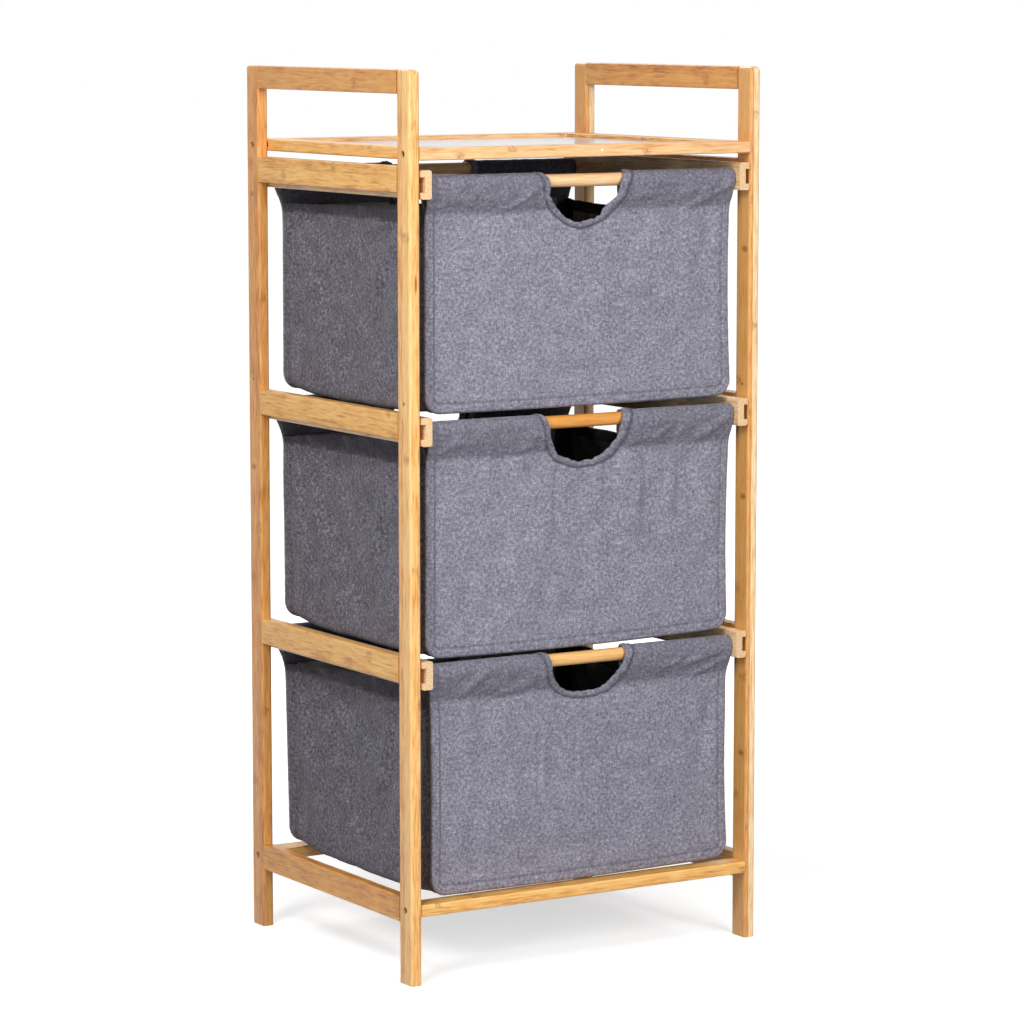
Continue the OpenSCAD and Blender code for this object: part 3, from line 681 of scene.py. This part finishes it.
class Gusset:
    """One strip that makes the left side, the bottom and the right side of a hamper."""

    HALF = 188.9  # half width of the bag at its sides
    ROUND = 16.6  # rounding of the bottom's two long folds at the panels
    DEEP = 158.6  # half depth from panel to panel
    WALL = 205.0  # flat height of a side wall above its fold

    def __init__(self, tier):
        self.facts = HAMPERS[tier]
        self.seed = self.facts["seed"] + 900
        low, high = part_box(f"front_dowel_{tier}")
        self.dowel_z = (low.z + high.z) / 2 / MM
        self.bottom = self.HALF - self.ROUND
        self.bend = self.bottom + self.ROUND * math.pi / 2
        self.total = self.bend + self.WALL

    def forward(self, y):
        """0 at the back panel to 1 at the front panel."""
        return np.clip((y / self.DEEP + 1) / 2, 0, 1)

    def floor(self, s, y):
        """Height of the bottom from the dowel's middle: it follows the front panel's lower edge,
        hangs down between the panels and rises to the back panel."""
        forward = self.forward(y)
        front = through(self.facts["bottom_drop"], (np.clip(s / self.bottom, -1, 1) + 1) / 2)
        between = self.facts["side_drop"]
        drop = between + (front - between) * ease(forward - 0.78, 0.22)
        return PANEL_BOTTOM + 2.0 - drop * ease(forward, 0.24)

    def radius(self, y):
        """Rounding of the bottom's two long folds, which are sharper between the panels."""
        return self.ROUND - 9.0 * (1 - (y / self.DEEP) ** 4)

    def rim(self, s, y):
        """Height of the side edges from the dowel's middle, as curves through three places."""
        left, right = (through(heights, self.forward(y)) for heights in self.facts["side_edges"])
        return np.where(s < 0, left, right)

    def hem(self, s, y):
        """Height of the hem's seam."""
        return np.minimum(HEM, self.rim(s, y) - 6)

    def section(self, s, y):
        """Plain place of the strip, before its folds: across, height, share up the wall, turn."""
        along = np.abs(s)
        turn = np.clip((along - self.bottom) / self.ROUND, 0, math.pi / 2)
        up = np.clip((along - self.bend) / (self.total - self.bend), 0, 1)
        radius = self.radius(y)
        start = self.floor(s, y) + radius
        x = (self.HALF - radius) * np.minimum(along / self.bottom, 1) + radius * np.sin(turn)
        z = start - radius * np.cos(turn) + up * (self.rim(s, y) - start)
        return x, z, up, turn

    def to_seam(self, s, y):
        """Distance from the nearest line of topstitching, in mm."""
        _, z, up, _ = self.section(s, y)
        on_hem = np.where(up > 0.5, np.abs(z - self.hem(s, y)), 20)
        edge = self.DEEP - np.abs(y)
        return np.minimum(np.minimum(np.abs(edge - SIDE_INSET), np.abs(edge - SIDE_INSET / 2) + 0.5), on_hem)

    def nap(self, s, y):
        """Painted shade: more than 0 on the hems, which are folded over and lie under the rails, and 0 on the
        rest.
        """
        _, z, up, _ = self.section(s, y)
        return np.where((up > 0.5) & (z > self.hem(s, y)), 2.4, 0.0)

    def relief(self, s, y, z, up):
        """How far the cloth stands out from its plain section, in mm."""
        seed, sign = self.seed, np.sign(s)
        edge = self.DEEP - np.abs(y)
        calm = np.clip(edge / 25, 0, 1)
        wall = np.clip(up * 8, 0, 1)
        lean = (1 - (y / self.DEEP) ** 2) ** 0.7
        # The walls bow inwards, and folds fan out and run down from the two upper corners
        out = -wall * lean * (1.0 + 2.6 * np.sin(math.pi * np.clip(0.1 + 0.8 * up, 0, 1)))
        fan = rays(y, z, (152, -14), 17, 105, seed + 3) + rays(y, z, (-152, -14), 17, 105, seed + 4)
        out = out + wall * calm * 2.4 * fan
        # One sharp pull line runs down from each upper corner, and a softer fold starts beside it
        for corner_y, to_y, depth in ((-146, 10, 6.6), (146, 30, 3.4)):
            out = out + wall * calm * pull(y, z, corner_y, -34, to_y, -212, depth)
            out = out + wall * calm * crease(y, z, corner_y * 0.45, -44, to_y, -170, 2.6, 8)
        out = out + calm * wall * (0.7 * ripples(sign * z, y, 80, seed) + 0.6 * ripples(s, y, 34, seed + 1))
        # The floor of the bag sags, and its corners are full
        out = out + (1 - wall) * lean * (0.4 + 0.35 * ripples(s, y, 70, seed + 2))
        # The hem along the side edges is doubled, and puckers a little at its seam
        above = z - self.hem(s, y)
        out = out + wall * (0.9 * np.clip(above / 2 + 0.5, 0, 1) - 0.7 * bump(above, 2.0))
        out = out + wall * 0.4 * ripples(y, z, 15, seed + 6, 0, 20) * bump(above, 9) * calm
        out = out - wall * 0.16 * np.clip(above, 0, None)
        out = out + 1.2 * bump(edge - 9.5, 2.6) - 1.2 * bump(edge - SIDE_INSET - 1.4, 2.2)
        out = out + 0.6 * bump(edge - 3.5, 2.2) - 0.5 * bump(edge - SIDE_INSET / 2, 1.4)
        return out + 0.10 * ripples(s, y, 13, seed + 7)

    def place(self, s, y, lift=0.0):
        """Points in mm in the row frame for places along and across the flat strip."""
        sign = np.sign(s)
        x, z, up, turn = self.section(s, y)
        out = self.relief(s, y, z, up) + lift
        # Above the sleeves' seams the strip narrows by up to 11 mm on each side, because it
        # hangs between the sleeves
        room = 1 - np.clip((z - SLEEVE_SEAM + 4) * 0.37, 0, 11) / self.DEEP
        low = np.clip((z - SLEEVE_SEAM) / (PANEL_BOTTOM - SLEEVE_SEAM), 0, 1)
        lean = hangs_free(z) * corner_in(self.facts, sign * x / self.HALF, self.forward(y), low)
        # The folds of one bag stay inside the width that its slide bars leave
        across = np.minimum(x + np.sin(turn) * out - lean, self.HALF + 1.6 + 6 * hangs_free(z))
        return np.stack([sign * across, -y * room, self.dowel_z + z - np.cos(turn) * out], -1)


def select_only(piece):
    """Leaves one object selected and active, in object mode."""
    bpy.ops.object.select_all(action="DESELECT")
    piece.select_set(True)
    bpy.context.view_layer.objects.active = piece


def flat_cloth(name, width, length, spacing):
    """A flat cloth cut to that size, in mm, with its own map in metres, as an unfinished piece."""
    bpy.ops.object.select_all(action="DESELECT")
    bpy.ops.mesh.primitive_grid_add(
        x_subdivisions=round(width / spacing), y_subdivisions=round(length / spacing), size=1.0
    )
    piece = bpy.context.active_object
    piece.name = piece.data.name = name
    places = np.zeros(len(piece.data.vertices) * 3)
    piece.data.vertices.foreach_get("co", places)
    places = places.reshape(-1, 3)
    uv = piece.data.uv_layers.active
    uv.name = "UVMap"
    corner = np.zeros(len(uv.data) * 2)
    uv.data.foreach_get("uv", corner)
    corner = corner.reshape(-1, 2) * [width * MM, length * MM]
    uv.data.foreach_set("uv", corner.ravel())
    return piece, places[:, 0] * width, places[:, 1] * length


def hang(piece, points):
    """Moves the vertices of a flat cloth to their places, given in mm."""
    piece.data.vertices.foreach_set("co", (points * MM).ravel())
    piece.data.update()


def trim(piece, unwanted):
    """Cuts away the faces that touch any of these vertices."""
    select_only(piece)
    bpy.ops.object.mode_set(mode="EDIT")
    bpy.ops.mesh.select_mode(type="FACE")
    bpy.ops.mesh.select_all(action="DESELECT")
    bpy.ops.object.mode_set(mode="OBJECT")
    for face in piece.data.polygons:
        face.select = any(unwanted[v] for v in face.vertices)
    bpy.ops.object.mode_set(mode="EDIT")
    bpy.ops.mesh.delete(type="FACE")
    bpy.ops.object.mode_set(mode="OBJECT")


def note(piece, name, values):
    """Notes a value on each place of a cloth, for its material."""
    noted = piece.data.attributes.new(name, "FLOAT", "POINT")
    noted.data.foreach_set("value", values)


def thicken(piece, thickness, outside, inside):
    """Gives a cloth its thickness and its two faces, and smooth shading."""
    piece.data.materials.append(outside)
    piece.data.materials.append(inside)
    select_only(piece)
    bpy.ops.object.modifier_add(type="SOLIDIFY")
    wall = piece.modifiers[-1]
    wall.thickness = thickness * MM
    wall.offset = 0.0
    wall.material_offset = 1
    bpy.ops.object.modifier_apply(modifier=wall.name)
    bpy.ops.object.shade_smooth()


def sew_panel(tier, side):
    """Front or back panel with its sleeve."""
    panel = Panel(tier, side)
    where = "front" if side < 0 else "rear"
    piece, x, q = flat_cloth(f"bag_{tier}_{where}_panel", 2 * SLEEVE_HALF, HIGH - LOW, PANEL_GRID)
    q = q + (HIGH + LOW) / 2
    open_hand = out_of_hand(x, q, panel.hand) < HAND_TRIM
    x, q = panel.cut(x, q)
    hang(piece, panel.place(x, q))
    note(piece, "to_seam", panel.to_seam(x, q))
    note(piece, "nap", panel.nap(q))
    trim(piece, open_hand)
    thicken(piece, CLOTH, cloth, lining)
    return panel, piece


def sew_gusset(tier):
    """Sides and bottom of a hamper, in one strip."""
    gusset = Gusset(tier)
    piece, s, y = flat_cloth(f"bag_{tier}_gusset", 2 * gusset.total, 2 * gusset.DEEP, GUSSET_GRID)
    hang(piece, gusset.place(s, y))
    note(piece, "to_seam", gusset.to_seam(s, y))
    note(piece, "nap", gusset.nap(s, y))
    thicken(piece, CLOTH, shaded_side_cloth, lining)
    return gusset, piece


def hand_edge(hand):
    """Edge of the hand cut-out on the flat cut, from the sleeve's inner seam at one side, over
    the dowel, down and round to the other side."""
    middle, deep, power = hand
    down = np.linspace(HIGH - 5, AT_DOWEL, 40)
    angle = np.linspace(0, math.pi, 120)[1:-1]
    curve_q = AT_DOWEL - deep * np.sin(angle) ** (2 / power)
    curve_x = hand_half(curve_q) * np.sign(np.cos(angle)) * np.abs(np.cos(angle)) ** (2 / power)
    x = middle + np.concatenate([hand_half(down), curve_x, -hand_half(down)[::-1]])
    q = np.concatenate([down, curve_q, down[::-1]])
    run = np.concatenate([[0], np.cumsum(np.hypot(np.diff(x), np.diff(q)))])
    return run, x, q


def on_hand_edge(hand, u):
    """Places on that edge for lengths along it, with the direction away from the opening."""
    run, x, q = hand_edge(hand)
    at_x, at_q = np.interp(u, run, x), np.interp(u, run, q)
    step = 4.0
    dx = np.interp(u + step, run, x) - np.interp(u - step, run, x)
    dq = np.interp(u + step, run, q) - np.interp(u - step, run, q)
    size = np.hypot(dx, dq)
    return at_x, at_q, -dq / size, dx / size


def bind_hand_edge(tier, panel, where):
    """Tape folded over the edge of the hand cut-out and sewn down on both faces."""
    total = hand_edge(panel.hand)[0][-1]
    half_turn = TAPE_FOLD * math.pi / 2
    piece, u, w = flat_cloth(f"bag_{tier}_{where}_binding", total, 2 * (TAPE + half_turn), TAPE_GRID)
    u = u + total / 2
    x, q, away_x, away_q = on_hand_edge(panel.hand, u)
    fold = np.clip(np.abs(w) / TAPE_FOLD, 0, math.pi / 2)
    over = np.clip(np.abs(w) - half_turn, 0, None)
    share = np.clip(over / TAPE, 0, 1)
    # The tape gathers on the inside of the curve: its fold puckers and its edge runs unevenly
    seed = panel.seed + 20
    curve = np.exp(-(((u - total / 2) / 50) ** 4))
    broad = tape_width(x - panel.hand[0]) / TAPE
    uneven = 0.7 * ripples(u, w * 0, 30, seed) + (0.1 + 0.25 * curve) * ripples(u, w * 0, 10, seed + 1)
    reach = TAPE_FOLD * (1 - np.cos(fold)) + over * broad + uneven * (1 - 0.5 * share)
    pucker = 0.8 * ripples(u, w, 7, seed + 2, 0, 60) + 0.5 * ripples(u, w, 16, seed + 3, 0, 90)
    pucker = np.clip(pucker * (0.5 + curve), -0.2, 0.9)
    lift = TAPE_FOLD * np.sin(fold) + pucker * np.sin(fold) * (1 - 0.6 * share)
    # Where it is broad it lies in two folds along its length
    folds = 0.9 * bump(share - 0.38, 0.11) - 0.5 * bump(share - 0.58, 0.09) + 0.5 * bump(share - 0.74, 0.09)
    lift = lift + folds * np.sin(fold) * ease(broad - 0.7, 0.3) * (1 + 0.3 * ripples(u, w * 0, 20, seed + 4))
    hang(piece, panel.place(x + away_x * reach, q + away_q * reach, np.sign(w) * lift))
    # Painted shade along the line where the binding is sewn down
    note(piece, "to_seam", np.abs(over - (TAPE - 1.4)) * broad)
    thicken(piece, TAPE_THICK, tape, tape)
    return piece


def stitch_shape():
    """One stitch as a thin rod with pointed ends, 1 mm long, along X."""
    bpy.ops.object.select_all(action="DESELECT")
    bpy.ops.mesh.primitive_cylinder_add(vertices=5, radius=0.5, depth=0.6, end_fill_type="TRIFAN")
    piece = bpy.context.active_object
    ends = np.array([v.co for v in piece.data.vertices])
    faces = [tuple(f.vertices) for f in piece.data.polygons]
    centres = np.hypot(ends[:, 0], ends[:, 1]) < 1e-6
    ends[centres, 2] = np.sign(ends[centres, 2]) * 0.5
    bpy.data.objects.remove(piece)
    return ends[:, [2, 0, 1]], faces


def sew_rows(name, rows):
    """Rows of stitches as one piece. A row is points in mm and points just above them."""
    shape, faces = stitch_shape()
    points, loops = [], []
    for line, above in rows:
        run = np.concatenate([[0], np.cumsum(np.linalg.norm(np.diff(line, axis=0), axis=1))])
        count = int(run[-1] / STITCH)
        starts = np.linspace(0, run[-1], count + 1)[:-1] + 0.4
        a = np.stack([np.interp(starts, run, line[:, i]) for i in range(3)], 1)
        ends = starts + STITCH * STITCH_SHARE
        b = np.stack([np.interp(ends, run, line[:, i]) for i in range(3)], 1)
        up = np.stack([np.interp(starts, run, (above - line)[:, i]) for i in range(3)], 1)
        along = b - a
        size = np.linalg.norm(along, axis=1, keepdims=True)
        along = along / size
        up = up - along * (up * along).sum(1, keepdims=True)
        up = up / np.linalg.norm(up, axis=1, keepdims=True)
        side = np.cross(up, along)
        middle = (a + b) / 2
        for k in range(len(a)):
            first = len(points) * len(shape)
            points.append(
                middle[k]
                + shape[:, :1] * size[k] * along[k]
                + shape[:, 1:2] * THREAD_WIDE * side[k]
                + shape[:, 2:3] * THREAD_HIGH * up[k]
            )
            loops += [tuple(first + v for v in face) for face in faces]
    mesh = bpy.data.meshes.new(name)
    mesh.from_pydata((np.concatenate(points) * MM).tolist(), [], loops)
    mesh.materials.append(thread)
    piece = bpy.data.objects.new(name, mesh)
    bpy.context.collection.objects.link(piece)
    select_only(piece)
    bpy.ops.object.shade_smooth()
    return piece


def row_on(place, first, second, lift=ON_CLOTH):
    """A row of stitches on a cloth, for two lists of places on its flat cut."""
    first, second = np.broadcast_arrays(np.asarray(first, float), np.asarray(second, float))
    return [place(first, second, np.full(first.shape, height)) for height in (lift, lift + 1)]


def panel_rows(panel):
    """Topstitching of a panel: along its edges, along its sleeve and on its binding."""
    inset = SEAM_INSET
    down = np.linspace(-4, LOW + CORNER, 60)
    turn = np.linspace(0, math.pi / 2, 12)[1:-1]
    r = CORNER - inset
    side = SLEEVE_HALF - inset
    level = np.linspace(side - r, r - side, 100)
    x = np.concatenate([np.full_like(down, side), side - r + r * np.cos(turn)])
    q = np.concatenate([down, LOW + CORNER - r * np.sin(turn)])
    x = np.concatenate([x, level, -x[::-1]])
    q = np.concatenate([q, np.full_like(level, LOW + inset), q[::-1]])
    rows = [row_on(panel.place, x, q)]
    for sign in (-1, 1):
        rows.append(row_on(panel.place, sign * np.linspace(54, 186, 70) + panel.hand[0], 0.0))
    run = hand_edge(panel.hand)[0][-1]
    u = np.linspace(8, run - 8, 120)
    at_x, at_q, away_x, away_q = on_hand_edge(panel.hand, u)
    beside = tape_width(at_x - panel.hand[0]) - 0.9
    for lift in (ON_TAPE, -ON_TAPE):
        rows.append(row_on(panel.place, at_x + away_x * beside, at_q + away_q * beside, lift))
    return rows


def gusset_rows(gusset):
    """Topstitching of the sides and bottom: along the seams and below the side edges."""
    rows = []
    along = np.linspace(-gusset.total + 3, gusset.total - 3, 300)
    across = gusset.DEEP - SIDE_INSET
    y = np.linspace(-140, 140, 90)
    for sign in (-1, 1):
        start = gusset.floor(sign * gusset.bend, y) + gusset.radius(y)
        up = (gusset.hem(sign, y) - start) / (gusset.rim(sign, y) - start)
        rows.append(row_on(gusset.place, along, sign * across))
        rows.append(row_on(gusset.place, sign * (gusset.bend + (gusset.total - gusset.bend) * up), y))
    return rows


for tier in HAMPERS:
    body = f"hamper_{tier}"
    rows = []
    for side, where in ((-1, "front"), (1, "rear")):
        panel, piece = sew_panel(tier, side)
        binding = bind_hand_edge(tier, panel, where)
        for sewn in (piece, binding):
            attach(sewn, body)
        rows += panel_rows(panel)
    gusset, strip = sew_gusset(tier)
    rows += gusset_rows(gusset)
    stitches = sew_rows(f"bag_{tier}_stitches", rows)
    for sewn in (strip, stitches):
        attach(sewn, body)
    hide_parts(f"bag_{tier}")


# Floor, light and camera


def shown_ray(tree):
    """1 for the rays that show the surroundings: to the camera, in gloss and through glass."""
    path = add(tree, "LightPath").outputs
    shown = add(tree, "Math", path["Is Camera Ray"], path["Is Glossy Ray"], operation="MAXIMUM")
    return add(tree, "Math", shown, path["Is Transmission Ray"], operation="MAXIMUM")


def studio():
    """Pale floor and white surroundings. The floor lies just under the feet and keeps the soft
    shadow near the rack. The surroundings look white, but give the rack only a little light."""
    fill_light = 0.07
    bpy.ops.object.select_all(action="DESELECT")
    bpy.ops.mesh.primitive_plane_add(size=40.0, location=(0, 0, -0.0005))
    floor = bpy.context.active_object
    floor.name = floor.data.name = "studio_floor"
    material, tree = empty_material("White_paper_sweep")
    away = add(tree, "VectorMath", add(tree, "TexCoord").outputs["Object"], operation="LENGTH")
    near = add(tree, "MapRange", away.outputs["Value"], 0.5, 1.6, 0.60, 1.0)
    paper = add(tree, "BsdfDiffuse", "#8C8C8C")
    lit = add(tree, "AddShader", add(tree, "BsdfDiffuse", "#F2F2F2"), add(tree, "Emission", "#FFFFFF", near))
    add(tree, "OutputMaterial", add(tree, "MixShader", shown_ray(tree), paper, lit))
    floor.data.materials.append(material)
    world = bpy.data.worlds.new("studio_surround")
    bpy.context.scene.world = world
    world.use_nodes = True
    tree = world.node_tree
    tree.nodes.clear()
    strength = add(tree, "MapRange", shown_ray(tree), 0.0, 1.0, fill_light, 1.0)
    add(tree, "OutputWorld", add(tree, "Background", "#FFFFFF", strength))


def softbox(name, place, aim, width, height, power):
    """A rectangular soft light, facing the point that it is aimed at."""
    lamp = bpy.data.lights.new(name, "AREA")
    lamp.shape = "RECTANGLE"
    lamp.size, lamp.size_y = width, height
    lamp.energy = power
    holder = bpy.data.objects.new(name, lamp)
    holder.location = place
    holder.rotation_euler = (Vector(aim) - Vector(place)).to_track_quat("-Z", "Y").to_euler()
    bpy.context.collection.objects.link(holder)


def camera():
    """The photograph's view: 4.4 m away, a little higher than the rack and looking down on it."""
    down, right = 7.24, 31.69  # degrees
    lens = bpy.data.cameras.new("camera")
    lens.sensor_width = 36.0
    lens.lens = 140.67
    holder = bpy.data.objects.new("camera", lens)
    holder.location = (-2.2924, -3.7352, 1.0271)
    holder.rotation_euler = (math.radians(90 - down), 0, math.radians(-right))
    bpy.context.collection.objects.link(holder)
    bpy.context.scene.camera = holder


studio()
middle = (0, 0, 0.5)
softbox("front_softbox", (0.0, -3.5, 1.65), middle, width=1.4, height=2.0, power=88)
softbox("left_softbox", (-1.62, -1.02, 1.95), middle, width=0.9, height=0.9, power=31)
softbox("strip_softbox", (-2.2, -1.35, 0.7), (0, 0, 0.6), width=0.4, height=1.5, power=15.5)
softbox("rear_softbox", (0.6, 2.4, 3.0), middle, width=1.2, height=1.2, power=30)
camera()

bpy.context.scene.view_settings.view_transform = "Standard"
